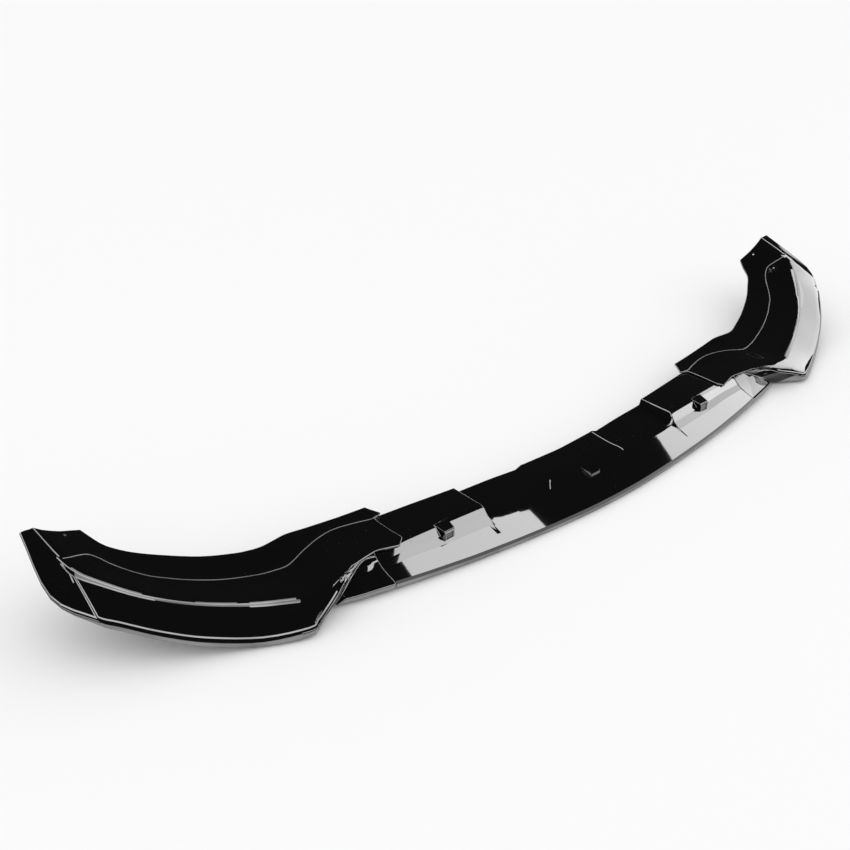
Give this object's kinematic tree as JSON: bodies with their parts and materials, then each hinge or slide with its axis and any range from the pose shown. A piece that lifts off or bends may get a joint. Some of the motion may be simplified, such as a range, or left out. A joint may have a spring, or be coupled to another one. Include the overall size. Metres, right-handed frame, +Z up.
{
  "type": "front bumper lip",
  "caption": "Glossy front splitter lip for a car: a bowed centre blade with a stepped flange and tabs, and two swept corner wings that lap onto it.",
  "frame": {"origin": "centre of the bounding box in plan, at the level of the rim's foot on the nose", "axes": "+X across the car towards the right-hand wing of the source, +Y from the nose towards the rear of the car, +Z up"},
  "size_m": [1.785, 0.3601, 0.1449],
  "materials": {
    "gloss_black": "high gloss moulded plastic"
  },
  "bodies": {
    "root": {"centre_lip": "gloss_black", "left_wing": "gloss_black", "right_wing": "gloss_black"}
  },
  "joints": []
}
